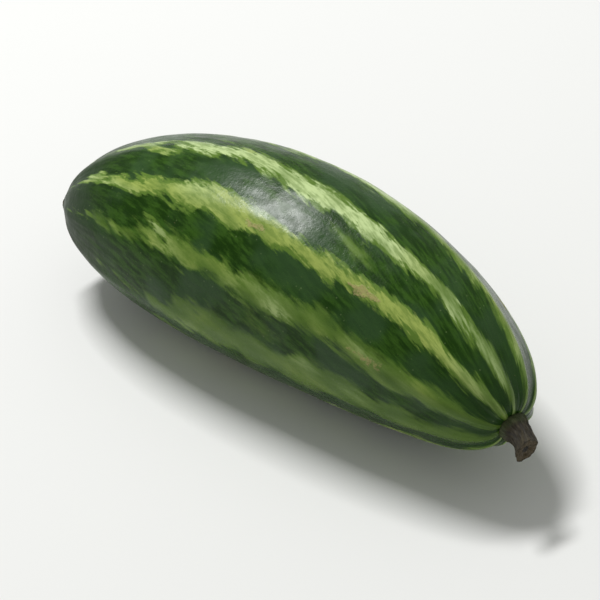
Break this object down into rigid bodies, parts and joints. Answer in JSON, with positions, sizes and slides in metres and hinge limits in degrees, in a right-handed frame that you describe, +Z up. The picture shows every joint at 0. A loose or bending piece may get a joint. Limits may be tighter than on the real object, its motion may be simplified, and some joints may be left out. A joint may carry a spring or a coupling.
{
  "type": "pointed gourd",
  "caption": "Whole pointed gourd as picked: a slightly bent, ribbed green fruit with pale broken stripes and the short dry stub of its stalk. It lies on its belly.",
  "frame": {"origin": "on the resting surface, under the middle of the whole part", "axes": "+X along the fruit towards its stalk, +Y to the outer side of its bend, +Z up"},
  "size_m": [0.0844, 0.0314, 0.0315],
  "materials": {
    "green_rind": "waxy dark green rind with pale green stripes",
    "dry_stalk": "dry brown bark, matte, with a paler cut end"
  },
  "bodies": {
    "root": {"fruit": "green_rind", "stalk_stub": "dry_stalk"}
  },
  "joints": []
}
